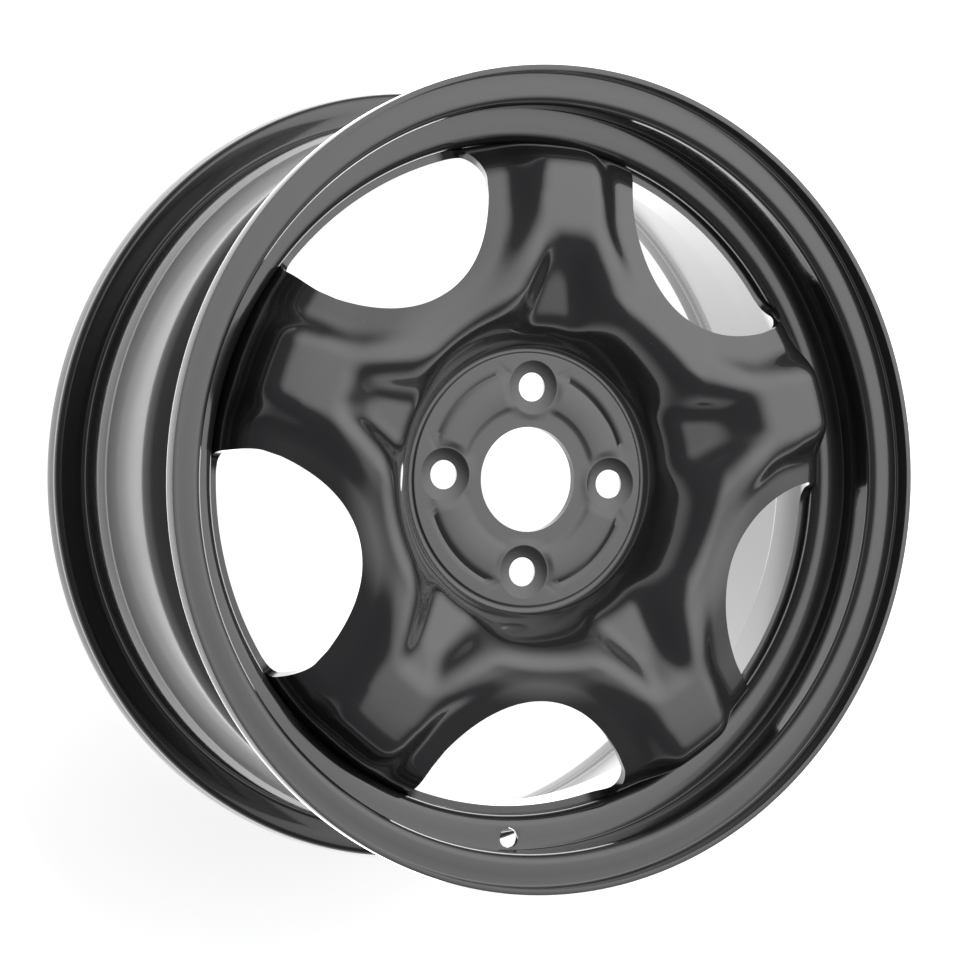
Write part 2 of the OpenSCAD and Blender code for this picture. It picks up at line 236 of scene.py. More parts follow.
class Shade:
    """A shader socket that works in Python expressions and adds the nodes that they need."""

    def __init__(self, tree, socket=None):
        self.tree = tree
        self.socket = socket

    def add(self, kind, settings=None, inputs=None, out=0):
        """Adds a node with its settings, then the values or links of its sockets, and gives one output."""
        node = self.tree.nodes.new(kind)
        for name, value in (settings or {}).items():
            setattr(node, name, value)
        for name, value in (inputs or {}).items():
            self.feed(node.inputs[name], value)
        return Shade(self.tree, node.outputs[out])

    def feed(self, socket, value):
        """Links a Shade to a socket, or sets the socket's value."""
        if isinstance(value, Shade):
            self.tree.links.new(value.socket, socket)
        elif socket.type == "RGBA" and len(value) == 3:
            socket.default_value = (*value, 1.0)
        else:
            socket.default_value = value

    def maths(self, operation, *values):
        return self.add("ShaderNodeMath", {"operation": operation}, dict(enumerate(values)))

    def __add__(self, other):
        return self.maths("ADD", self, other)

    def __radd__(self, other):
        return self.maths("ADD", other, self)

    def __rsub__(self, other):
        return self.maths("SUBTRACT", other, self)

    def __mul__(self, other):
        return self.maths("MULTIPLY", self, other)

    def largest(self, other):
        return self.maths("MAXIMUM", self, other)

    def between(self, low, high):
        """0 at low and 1 at high, easing at both ends."""
        return self.add(
            "ShaderNodeMapRange",
            {"interpolation_type": "SMOOTHSTEP"},
            {"Value": self, "From Min": low, "From Max": high},
        )

    def band(self, low, full, fade, end):
        """1 from full to fade, easing to 0 at low and at end."""
        return self.between(low, full) * (1 - self.between(fade, end))

    def blend(self, first, second):
        """The first colour where this value is 0 and the second where it is 1."""
        return self.add("ShaderNodeMix", {"data_type": "RGBA"}, {0: self, 6: first, 7: second}, out=2)


def bare_tree(owner):
    """The node tree of a material or world, emptied, as a Shade to build from."""
    owner.use_nodes = True
    owner.node_tree.nodes.clear()
    return Shade(owner.node_tree)


def show(surface, output):
    """Links a shader to a new output of its tree."""
    end = surface.tree.nodes.new(output)
    surface.tree.links.new(surface.socket, end.inputs["Surface"])


def black_paint(name, wave=0.35, peel=1.0, rough=0.0, satin_from=None, satin_to=None):
    """Gloss black paint: a deep coat with fine orange peel, slow waves of the steel and a little dust.

    Between two heights it thins out to a satin film on the outside of the barrel.
    """
    finish = wheel().paint
    material = bpy.data.materials.new(name)
    material.use_nodes = True
    shader = material.node_tree.nodes["Principled BSDF"]
    start = Shade(material.node_tree)
    place = start.add("ShaderNodeTexCoord", out=3)

    def noise(scale, detail=2.0, roughness=0.5):
        return start.add(
            "ShaderNodeTexNoise",
            {},
            {"Vector": place, "Scale": scale, "Detail": detail, "Roughness": roughness},
        )

    film = noise(38.0, 3.0)
    smear = noise(9.0, 4.0, 0.6)
    grains = start.add("ShaderNodeTexVoronoi", {}, {"Vector": place, "Scale": 260.0})
    sown = noise(60.0, 1.0)
    nibs = (1 - grains.between(0.03, 0.10)) * sown.between(0.60, 0.66)
    haze = smear.between(0.45, 0.75) * 0.10 + nibs * 0.5
    start.feed(shader.inputs["Base Color"], haze.blend(finish.black, finish.dust))
    dull = finish.gloss + rough + film * 0.05 + smear.between(0.4, 0.8) * 0.05 + nibs * 0.2
    shader.inputs["Coat Weight"].default_value = 1.0
    if satin_from is not None:
        level = start.add("ShaderNodeSeparateXYZ", {}, {"Vector": place}, out=2)
        soft = 6 * MM
        barrel = level.band(satin_from - soft, satin_from + soft, satin_to - soft, satin_to + soft)
        normal = start.add("ShaderNodeNewGeometry", out=1)
        facing = {0: place, 1: normal}
        outward = start.add("ShaderNodeVectorMath", {"operation": "DOT_PRODUCT"}, facing, out=1)
        satin = barrel * outward.between(0.0, 0.04)
        dull = dull + satin * finish.satin
        start.feed(shader.inputs["Coat Weight"], 1 - satin * 0.7)
    start.feed(shader.inputs["Roughness"], dull)
    orange = noise(1.0 / (2.6 * MM), 1.0) * peel
    slow = noise(1.0 / (30 * MM), 1.0) * (wave * 14)
    height = orange + slow + nibs * 0.8
    relief = {"Height": height, "Strength": finish.peel, "Distance": 0.2 * MM}
    bump = start.add("ShaderNodeBump", {}, relief)
    start.feed(shader.inputs["Normal"], bump)
    shader.inputs["IOR"].default_value = 1.56
    shader.inputs["Coat Roughness"].default_value = 0.06
    shader.inputs["Coat IOR"].default_value = 1.5
    return material


# Modelling helpers


def edit(obj):
    """Goes into edit mode on one object alone, with nothing selected in it."""
    if bpy.context.mode != "OBJECT":
        bpy.ops.object.mode_set(mode="OBJECT")
    bpy.ops.object.select_all(action="DESELECT")
    obj.select_set(True)
    bpy.context.view_layer.objects.active = obj
    bpy.ops.object.mode_set(mode="EDIT")
    bpy.ops.mesh.select_mode(type="VERT")
    bpy.ops.mesh.select_all(action="DESELECT")


def done():
    """Goes back to object mode."""
    bpy.ops.object.mode_set(mode="OBJECT")


def newest(name):
    """The primitive that was just added, under its own name."""
    obj = bpy.context.active_object
    obj.name = name
    obj.data.name = name
    return obj


def first_point(name, place):
    """A mesh of one point, left in edit mode with the point selected."""
    if bpy.context.mode != "OBJECT":
        done()
    bpy.ops.object.select_all(action="DESELECT")
    bpy.ops.mesh.primitive_plane_add(size=MM, location=(0, 0, 0))
    obj = newest(name)
    edit(obj)
    bpy.ops.mesh.select_all(action="SELECT")
    bpy.ops.mesh.merge(type="CENTER")
    bpy.ops.mesh.select_all(action="SELECT")
    bpy.ops.transform.translate(value=place)
    return obj


def draw_line(points):
    """Extrudes the selected point through the points that follow it."""
    for a, b in zip(points, points[1:]):
        bpy.ops.mesh.extrude_region_move(TRANSFORM_OT_translate={"value": Vector(b) - Vector(a)})


def select_faces(obj, test):
    """Selects the faces whose middle passes a test."""
    bpy.ops.mesh.select_mode(type="FACE")
    shape = bmesh.from_edit_mesh(obj.data)
    picked = 0
    for face in shape.faces:
        face.select_set(test(face.calc_center_median()))
        picked += face.select
    bmesh.update_edit_mesh(obj.data)
    if not picked:
        raise RuntimeError(f"{obj.name}: no face to select")


def select_border(obj, test):
    """Selects the open edges whose two ends pass a test."""
    bpy.ops.mesh.select_mode(type="EDGE")
    bpy.ops.mesh.select_all(action="DESELECT")
    shape = bmesh.from_edit_mesh(obj.data)
    picked = 0
    for edge in shape.edges:
        if edge.is_boundary and all(test(vert.co) for vert in edge.verts):
            edge.select_set(True)
            picked += 1
    bmesh.update_edit_mesh(obj.data)
    if not picked:
        raise RuntimeError(f"{obj.name}: no open edge to select")


def place_selected(obj, rule):
    """Moves each selected point to where a rule puts it."""
    shape = bmesh.from_edit_mesh(obj.data)
    for vert in shape.verts:
        if vert.select:
            vert.co = rule(vert.co.copy())
    bmesh.update_edit_mesh(obj.data)


def open_hole(obj, inside, near, rings):
    """Takes out the faces round a hole and draws the sheet back in, ring by ring, to the hole's edge."""
    edit(obj)
    select_faces(obj, inside)
    bpy.ops.mesh.delete(type="FACE")
    select_border(obj, near)
    for rule in rings:
        bpy.ops.mesh.extrude_region_move()
        place_selected(obj, rule)
    done()


def finish_mesh(obj, modifiers, material, smooth=32):
    """Applies modifiers in order, then smooths the faces and paints them."""
    for kind, settings in modifiers:
        bpy.context.view_layer.objects.active = obj
        modifier = obj.modifiers.new(kind.title(), kind)
        for name, value in settings.items():
            setattr(modifier, name, value)
        bpy.ops.object.modifier_apply(modifier=modifier.name)
    bpy.ops.object.select_all(action="DESELECT")
    obj.select_set(True)
    bpy.context.view_layer.objects.active = obj
    bpy.ops.object.shade_smooth_by_angle(angle=math.radians(smooth))
    obj.data.materials.clear()
    obj.data.materials.append(material)
    obj.select_set(False)


def edge_round(width, segments, sharp):
    """Settings of a bevel on the edges that turn by more than an angle in degrees."""
    return {
        "width": width,
        "segments": segments,
        "limit_method": "ANGLE",
        "angle_limit": math.radians(sharp),
    }


def hand_over(obj, node):
    """Sets a finished piece in the place of its solid."""
    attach(obj, "root")
    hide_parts(node)


def rounded(path, steps, longest):
    """Points of a path of (radius, height, fillet) corners, with arcs for fillets and no long steps."""
    corners = [np.array(p[:2]) for p in path]
    points = [corners[0]]
    for i in range(1, len(path) - 1):
        u = corners[i] - corners[i - 1]
        v = corners[i + 1] - corners[i]
        u /= np.linalg.norm(u)
        v /= np.linalg.norm(v)
        side = np.sign(u[0] * v[1] - u[1] * v[0])
        bend = math.acos(np.clip(u @ v, -1, 1))
        radius = path[i][2]
        start = corners[i] - u * radius * math.tan(bend / 2)
        across = np.array([u[1], -u[0]])
        centre = start - across * side * radius
        for s in range(steps + 1):
            t = side * bend * s / steps
            arm = across * math.cos(t) + u * math.sin(t)
            points.append(centre + side * radius * arm)
    points.append(corners[-1])
    fine = [points[0]]
    for a, b in zip(points, points[1:]):
        pieces = max(1, math.ceil(np.linalg.norm(b - a) / longest))
        fine += [a + (b - a) * k / pieces for k in range(1, pieces + 1)]
    return fine


# Rim


class RimSection:
    """The rim's section: corner points and fillets along the middle of the sheet."""

    def __init__(self, sizes):
        half = sizes.sheet / 2
        lip_r = RIM_HIGH[0] - half
        seat_r = lip_r - sizes.flange
        out_z = RIM_HIGH[2] - sizes.lip_reach
        in_z = RIM_LOW[2] + sizes.lip_reach
        seat_end = seat_r - (sizes.seat_w - sizes.hump_foot) * math.tan(sizes.seat_taper)
        self.hump = (seat_end + sizes.hump, out_z - sizes.seat_w)
        self.shoulder = (self.hump[0] - sizes.shoulder_drop, self.hump[1] - sizes.shoulder_w)
        self.well = (seat_r - sizes.well_depth, self.shoulder[1] - sizes.wall_lean)
        well_end = self.well[1] - sizes.well_w
        leg_r = seat_r - sizes.leg_depth
        in_hump_z = in_z + sizes.seat_w
        self.corners = [
            (lip_r, RIM_HIGH[2], 0),
            (lip_r, out_z + half, sizes.lip_fillet),
            (seat_r, out_z + half, sizes.heel_fillet),
            (seat_end, self.hump[1] + sizes.hump_foot, 8 * MM),
            (*self.hump, 4 * MM),
            (*self.shoulder, 2 * MM),
            (*self.well, 5.2 * MM),
            (self.well[0], well_end, 10 * MM),
            (leg_r, well_end - sizes.step_w, 10 * MM),
            (leg_r + sizes.leg_rise, in_hump_z + 2 * sizes.hump_foot, 10 * MM),
            (self.hump[0], in_hump_z, 4 * MM),
            (seat_end, in_hump_z - sizes.hump_foot, 8 * MM),
            (seat_r, in_z - half, sizes.heel_fillet),
            (lip_r, in_z - half, sizes.lip_fillet),
            (lip_r, RIM_LOW[2], 0),
        ]
        self.points = rounded(self.corners, 7, 6 * MM)

    def wall_at(self, radius):
        """Height of the well's front wall at a radius."""
        share = (radius - self.well[0]) / (self.shoulder[0] - self.well[0])
        return self.well[1] + (self.shoulder[1] - self.well[1]) * share


def valve_hole(section, sizes):
    """Tests for the faces and open edges round the valve hole, and the rules that draw them in to it."""
    hole_r = MOUNTS["valve_hole"]["dims"]["r_mm"] * MM
    valve_r = section.shoulder[0] - sizes.valve_in
    centre = Matrix.Rotation(VALVE_ANGLE, 3, "Z") @ Vector((valve_r, 0, section.wall_at(valve_r)))

    def inside(point):
        on_circle = abs(math.hypot(point.x, point.y) - valve_r) < 6.2 * MM
        on_wall = abs(point.z - centre.z) < 4 * MM
        return on_circle and on_wall and abs(point.x) < 8.2 * MM and point.y < 0

    def near(point):
        return (point - centre).length < 14 * MM

    def ring(share):
        def rule(point):
            flat = Vector((point.x - centre.x, point.y - centre.y))
            flat = flat.lerp(flat.normalized() * hole_r, share)
            x, y = centre.x + flat.x, centre.y + flat.y
            return Vector((x, y, mix(point.z, section.wall_at(math.hypot(x, y)), share)))
        return rule

    return inside, near, [ring(0.5), ring(1.0)]


def build_rim(context):
    sizes = wheel(context).rim
    section = RimSection(sizes)
    points = [(p[0], 0, p[1]) for p in section.points]
    obj = first_point("rim_hoop", points[0])
    draw_line(points)
    bpy.ops.mesh.select_all(action="SELECT")
    bpy.ops.mesh.spin(steps=sizes.turns, angle=FULL_TURN, center=(0, 0, 0), axis=(0, 0, 1))
    bpy.ops.mesh.select_all(action="SELECT")
    bpy.ops.mesh.remove_doubles(threshold=0.01 * MM)
    bpy.ops.mesh.normals_make_consistent(inside=False)
    done()
    open_hole(obj, *valve_hole(section, sizes))
    wall = {"thickness": sizes.sheet, "offset": 0.0, "use_even_offset": True}
    paint = black_paint("rim_paint", wave=0.2, satin_from=sizes.satin_from, satin_to=sizes.satin_to)
    finish_mesh(obj, [("SOLIDIFY", wall), ("BEVEL", edge_round(sizes.edge, 3, 55))], paint)
    hand_over(obj, "rim")


# Disc


def ease(t):
    """0 up to 0 and 1 from 1, easing at both ends."""
    t = np.clip(t, 0, 1)
    return t * t * (3 - 2 * t)


def smooth_min(a, b, k):
    """The smaller value, with the corner where the two meet rounded over a width."""
    h = np.maximum(k - np.abs(a - b), 0) / k
    return np.minimum(a, b) - h * h * k / 4


def smooth_max(a, b, k):
    """The larger value, rounded in the same way."""
    return -smooth_min(-a, -b, k)


def mix(a, b, t):
    """From the first value at 0 to the second at 1."""
    return a + (b - a) * t


class HubPlate:
    """Height of the hub plate's front: flat ring, bolt ring, dip, ledge and round seats for the bolts."""

    def __init__(self, sizes):
        self.sizes = sizes
        self.bore_r = MOUNTS["centre_bore"]["dims"]["r_mm"] * MM
        self.bolt_r = BOLT_DIMS["pcd_mm"] / 2 * MM
        self.hole_r = BOLT_DIMS["hole_r_mm"] * MM
        bolts = BOLT_DIMS["count"]
        turns = [FIRST_SPOKE + FULL_TURN * i / bolts for i in range(bolts)]
        self.bolts = [self.bolt_r * np.array([math.cos(t), math.sin(t)]) for t in turns]
        self.ball_z = sizes.plate + sizes.collar_h + math.sqrt(sizes.ball_r**2 - sizes.ball_edge**2)

    def profile(self, r):
        """Height of the plate away from the bolt seats."""
        s = self.sizes
        step = s.step_h * ease((r - s.step_r + 0.9 * MM) / (1.8 * MM))
        middle = (s.step_r + s.dip_r) / 2
        arch = np.clip(1 - ((r - middle) / (s.dip_r - middle)) ** 2, 0, 1) * s.crown
        fall = ease((r - s.dip_r + 2.4 * MM) / (2.6 * MM))
        ledge = s.ledge_h * ease((r - s.dip_r - 0.2 * MM) / (1.8 * MM))
        drop = (s.ledge_h + 0.15 * MM) * ease((r - s.outer_r + 0.9 * MM) / (1.2 * MM))
        return s.plate + (step + arch) * (1 - fall) + ledge - drop

    def seat(self, rho):
        """Height of a bolt seat at a distance from the bolt's axis."""
        return self.ball_z - np.sqrt(self.sizes.ball_r**2 - rho**2)

    def height(self, x, y):
        """Height of the plate's front, with its seats and the level collars round them."""
        s = self.sizes
        rho = np.min([np.hypot(x - bolt[0], y - bolt[1]) for bolt in self.bolts], axis=0)
        rings = ease((rho - s.ball_edge) / s.collar_w)
        plate = mix(s.plate + s.collar_h, self.profile(np.hypot(x, y)), rings)
        return np.where(rho < s.ball_edge, self.seat(np.minimum(rho, s.ball_edge)), plate)


class Star:
    """The stamped face from the hub's wall out over the spokes and the bend to the skirt."""

    def __init__(self, sizes, hub):
        self.s = sizes
        self.half = math.pi / sizes.spokes
        rim = wheel().rim
        section = RimSection(rim)
        self.skirt_r = section.well[0] - rim.sheet / 2 - sizes.skirt_gap
        self.skirt_top = section.well[1] - sizes.skirt_low
        self.bend_r = self.skirt_r - sizes.bend_w
        self.bend_run = 2 * sizes.bend_w
        self.end_q = self.bend_r + self.bend_run
        self.waist_r = self.bend_r - sizes.waist_in
        self.foot_r = sizes.wall_r - 2 * MM
        self.root_z = (hub.plate + sizes.sheet) / 2
        low, high = 0.0, 100 * MM
        for _ in range(40):
            y = (low + high) / 2
            if math.hypot(self.edge_x(y), y) < self.waist_r:
                low = y
            else:
                high = y
        self.waist_y = low
        self.waist_angle = math.atan2(low, self.edge_x(low))
        self.spoke_half = self.waist_r * math.sin(self.half - self.waist_angle)
        lean = math.atan(self.edge_slope(low)) + self.waist_angle
        self.edge_turn = math.tan(math.pi / 2 - lean) * (self.end_q - self.waist_r) / self.waist_r

    def edge_x(self, y):
        """Radial place of the window's inner edge at a distance from its centre line."""
        share = y / (50 * MM)
        return self.s.window_r + self.s.window_rise * share**2 + self.s.window_flare * share**4

    def edge_slope(self, y):
        """Slope of that edge."""
        share = y / (50 * MM)
        return (2 * self.s.window_rise * share + 4 * self.s.window_flare * share**3) / (50 * MM)

    def edge_gap(self, r, f):
        """Distance of a point of the sheet from the nearest window's edge."""
        x, y = r * np.cos(self.half - f), r * np.sin(self.half - f)
        from_arc = (self.edge_x(y) - x) / np.sqrt(1 + self.edge_slope(y) ** 2)
        from_side = self.spoke_half - r * np.sin(f)
        spoke_from = 130 * MM
        return mix(from_arc, from_side, ease((r - spoke_from) / (self.waist_r - spoke_from)))

    def strip_z(self, r):
        """Height of the strips beside the windows, at the window's edge."""
        run = smooth_max(r - self.s.window_r, 0, 8 * MM) / (self.waist_r - self.s.window_r)
        return self.s.edge_z - self.s.strip_drop * run

    def land_z(self, r):
        """Height of the crest and of the raised lands."""
        start = 100 * MM
        return self.s.crest_z - self.s.land_drop * (np.maximum(r - start, 0) / (self.bend_r - start)) ** 2

    def wall_z(self, r):
        """Height of the wall that rises round the hub."""
        rise = self.root_z + (r - self.s.wall_r) * math.tan(self.s.wall_angle)
        return smooth_max(self.root_z, rise, 4 * MM)

    def pocket_z(self, r, f):
        """Floor, sides and closed end of the pocket in a spoke."""
        s = self.s
        start, blend = 72 * MM, 6 * MM
        x = r * np.cos(f)
        t = np.maximum(x - start, 0) / (s.pocket_end - start)
        past_side = r * np.sin(f) - mix(s.pocket_root, s.pocket_tip, t)
        end_slope = 0.6
        past_end = end_slope * (x - s.pocket_end)
        out = smooth_max(past_side, past_end, blend)
        slope = mix(s.pocket_flat, s.pocket_steep, np.minimum(t, 1))
        return mix(s.pocket_low, s.pocket_high, t) + slope * smooth_max(out, 0, blend)

    def face_z(self, r, f):
        """Height of the outer face inside the bend."""
        s = self.s
        gap = self.edge_gap(r, f)
        steepness = mix(s.step_soft, s.step_slope, ease((r - s.step_from) / (s.step_to - s.step_from)))
        step_blend, wall_blend, pocket_blend = 4 * MM, 24 * MM, 9 * MM
        step = steepness * smooth_max(gap - s.strip_w, 0, step_blend)
        star = smooth_min(self.strip_z(r) + s.strip_rise * gap + step, self.land_z(r), step_blend)
        crown = smooth_min(star, self.wall_z(r), wall_blend)
        return smooth_min(crown, self.pocket_z(r, f), pocket_blend)

    def bend(self, z, slope, t):
        """Radius and height of the curve from a spoke's face down to the top of the skirt."""
        reach = self.s.bend_w * mix(0.38, 0.75, np.clip((z - 26 * MM) / (12 * MM), 0, 1))
        hang = 0.62
        corner_z = self.skirt_top + hang * (z - self.skirt_top)
        s = 1 - t
        a, b, c, d = s**3, 3 * s * s * t, 3 * s * t * t, t**3
        radius = a * self.bend_r + b * (self.bend_r + reach) + (c + d) * self.skirt_r
        height = a * z + b * (z + slope * reach) + c * corner_z + d * self.skirt_top
        return radius, height

    def point(self, f, q):
        """Radius and height at an angle from the spoke's axis and a distance along the section."""
        probe = 0.05 * MM
        z = self.face_z(np.full_like(f, self.bend_r), f)
        slope = (z - self.face_z(np.full_like(f, self.bend_r - probe), f)) / probe
        t = np.clip((q - self.bend_r) / self.bend_run, 0, 1)
        bend_r, bend_z = self.bend(z, slope, t)
        inner = q <= self.bend_r
        radius = np.where(inner, q, bend_r)
        height = np.where(inner, self.face_z(np.minimum(q, self.bend_r), f), bend_z)
        return radius, height - np.maximum(q - self.end_q, 0)

    def side_angle(self, q):
        """Angle of a spoke's side from its axis, flared into the window's round corner at the skirt."""
        t = (q - self.waist_r) / (self.end_q - self.waist_r)
        probe, corner = 0.05 * MM, self.s.corner_r
        fall = (self.strip_z(self.bend_r) - self.strip_z(self.bend_r - probe)) / probe
        _, z = self.bend(self.strip_z(self.bend_r), fall, np.maximum(q - self.bend_r, 0) / self.bend_run)
        drop = np.clip(self.skirt_top + corner - z, 0, corner)
        flare = corner - np.sqrt(corner**2 - drop**2)
        return self.half - self.waist_angle - self.edge_turn * t * (1 - t) ** 2 + flare / self.skirt_r


class DiscGrid:
    """Rows and columns of the disc's outer face, from the bore to the skirt's edge."""

    def __init__(self, star, hub):
        self.star, self.hub = star, hub
        self.spoke_cols, self.window_cols = 20, 20
        self.half_cols = self.spoke_cols + self.window_cols
        self.cols = star.s.spokes * 2 * self.half_cols
        patch_in, patch_out = 32 * MM, 67.4 * MM
        self.hub_rows = np.concatenate([
            np.linspace(hub.bore_r, patch_in, 4)[:-1],
            np.linspace(patch_in, patch_out, 23)[:-1],
            np.linspace(patch_out, star.foot_r, 9),
        ])
        self.star_rows = 48
        self.bend_steps = np.concatenate([np.linspace(0.06, 0.9, 15), [0.95, 0.98, 1.0]])
        self.waist_row = len(self.hub_rows) - 1 + self.star_rows
        self.skirt_row = self.waist_row + 1 + len(self.bend_steps)
        self.rows = self.skirt_row + 2
        self.patch = (patch_in, patch_out, math.radians(21.6))

    def place(self, m, j):
        """Angle from the spoke's axis and distance along the section, for a column and a row."""
        star, last_hub = self.star, len(self.hub_rows) - 1
        in_spoke = m <= self.spoke_cols
        part = m / self.spoke_cols if in_spoke else (m - self.spoke_cols) / self.window_cols
        even = star.half * m / self.half_cols
        if j <= last_hub:
            return even, self.hub_rows[j]
        if j <= self.waist_row:
            y = 0.0 if in_spoke else star.waist_y * (1 - part)
            x = star.edge_x(y)
            end_r = star.waist_r if in_spoke else math.hypot(x, y)
            end_a = star.side_angle(star.waist_r) * part if in_spoke else star.half - math.atan2(y, x)
            s = (j - last_hub) / self.star_rows
            return mix(even, end_a, ease(s)), mix(star.foot_r, end_r, s**1.1)
        if j >= self.skirt_row:
            edge = star.side_angle(star.end_q)
            turn = edge * part if in_spoke else mix(edge, star.half, part)
            return turn, star.end_q + star.s.skirt_h * (j - self.skirt_row) / (self.rows - self.skirt_row)
        k = j - self.waist_row - 1
        q = star.bend_r if k == 0 else star.bend_r + star.bend_run * self.bend_steps[k - 1]
        edge = star.side_angle(q)
        return (edge * part, q) if in_spoke else (mix(edge, star.half, part), star.end_q)

    def points(self):
        """Points of the whole face, row by row, with the last column on the first."""
        m, j = np.meshgrid(np.arange(self.half_cols + 1), np.arange(self.rows + 1))
        places = np.array([self.place(a, b) for a, b in zip(m.ravel(), j.ravel())])
        turn = places[:, 0].reshape(m.shape)
        q = places[:, 1].reshape(m.shape)
        radius, height = self.star.point(turn.ravel(), q.ravel())
        radius, height = radius.reshape(m.shape), height.reshape(m.shape)
        flat = q <= self.star.foot_r + 1e-9
        radius = np.where(flat, q, radius)
        i = np.arange(self.cols + 1)
        n = i % (2 * self.half_cols)
        column = np.minimum(n, 2 * self.half_cols - n)
        sign = np.where(n <= self.half_cols, 1, -1)
        sector = i // (2 * self.half_cols) + (n > self.half_cols)
        around = FIRST_SPOKE + 2 * self.star.half * sector + sign * turn[:, column]
        x, y = radius[:, column] * np.cos(around), radius[:, column] * np.sin(around)
        z = np.where(flat[:, column], self.hub.height(x, y), height[:, column])
        return np.stack([x, y, z], -1)

    def in_window(self, i, j):
        """Whether the face at a column and a row lies in a window."""
        n = i % (2 * self.half_cols)
        between = self.spoke_cols <= n < 2 * self.half_cols - self.spoke_cols
        return between and self.waist_row <= j < self.skirt_row


def stamp_face(grid):
    """The disc's outer face as a sheet of quads, shaped from a grid and with its windows cut out."""
    if bpy.context.mode != "OBJECT":
        done()
    bpy.ops.object.select_all(action="DESELECT")
    bpy.ops.mesh.primitive_grid_add(x_subdivisions=grid.cols, y_subdivisions=grid.rows, size=2)
    obj = newest("spoke_disc")
    points = grid.points()
    flat = np.empty(len(obj.data.vertices) * 3)
    obj.data.vertices.foreach_get("co", flat)
    flat = flat.reshape(-1, 3)
    i = np.rint((flat[:, 0] + 1) / 2 * grid.cols).astype(int)
    j = np.rint((flat[:, 1] + 1) / 2 * grid.rows).astype(int)
    obj.data.vertices.foreach_set("co", points[j, i].ravel())
    obj.data.update()
    edit(obj)
    bpy.ops.mesh.select_mode(type="FACE")
    shape = bmesh.from_edit_mesh(obj.data)
    for face in shape.faces:
        face_i = min(i[v.index] for v in face.verts)
        face_j = min(j[v.index] for v in face.verts)
        face.select_set(grid.in_window(face_i, face_j))
    bmesh.update_edit_mesh(obj.data)
    bpy.ops.mesh.delete(type="FACE")
    bpy.ops.mesh.select_all(action="SELECT")
    bpy.ops.mesh.remove_doubles(threshold=0.01 * MM)
    done()
    if sum(face.normal.z for face in obj.data.polygons) < 0:
        edit(obj)
        bpy.ops.mesh.select_all(action="SELECT")
        bpy.ops.mesh.flip_normals()
        done()
    return obj


def turn_from(point, start):
    """Angle of a point round the axle from a start, between minus and plus half a turn."""
    return (math.atan2(point.y, point.x) - start + math.pi) % FULL_TURN - math.pi


def bolt_seat(hub, grid, bolt):
    """Test for the faces round a bolt, and the rules that draw them in over the seat's edge to the hole."""
    low_r, high_r, spread = grid.patch
    middle = math.atan2(bolt[1], bolt[0])

    def inside(point, spare=0.0):
        r = math.hypot(point.x, point.y)
        turn = turn_from(point, middle)
        on_ring = low_r - spare < r < high_r + spare and abs(point.z) < 12 * MM
        return on_ring and abs(turn) < spread + spare * 20

    def near(point):
        return inside(point, 0.05 * MM)

    def ring(share, on_seat):
        def rule(point):
            off = np.array([point.x, point.y]) - bolt
            rho = np.hypot(*off)
            direction = off / rho
            edge = hub.sizes.ball_edge
            rho = mix(edge, hub.hole_r, share) if on_seat else mix(rho, edge, share)
            x, y = bolt + direction * rho
            return Vector((x, y, float(hub.height(x, y))))
        return rule

    outer = [ring(share, False) for share in (0.35, 0.6, 0.8, 0.93, 1.0)]
    seat = [ring(share, True) for share in (0.06, 0.25, 0.5, 0.75, 1.0)]
    return inside, near, outer + seat


def build_disc(context):
    settings = wheel(context)
    hub = HubPlate(settings.hub)
    grid = DiscGrid(Star(settings.disc, settings.hub), hub)
    obj = stamp_face(grid)
    for bolt in hub.bolts:
        open_hole(obj, *bolt_seat(hub, grid, bolt))
    in_hub = [v.index for v in obj.data.vertices if math.hypot(v.co.x, v.co.y) < settings.hub.outer_r]
    group = obj.vertex_groups.new(name="hub")
    group.add(in_hub, 1.0, "REPLACE")
    thin = settings.disc.sheet / settings.hub.plate
    wall = {
        "thickness": settings.hub.plate,
        "offset": -1.0,
        "use_even_offset": True,
        "use_quality_normals": True,
        "vertex_group": "hub",
        "thickness_vertex_group": thin,
    }
    finish_mesh(obj, [("SOLIDIFY", wall)], black_paint("disc_paint"))
    for vert in obj.data.vertices:
        if math.hypot(vert.co.x, vert.co.y) < settings.hub.outer_r and vert.co.z < 2.4 * MM:
            vert.co.z = 0
    finish_mesh(obj, [("BEVEL", edge_round(settings.disc.edge, 2, 52))], obj.data.materials[0])
    hand_over(obj, "disc")


# Welds


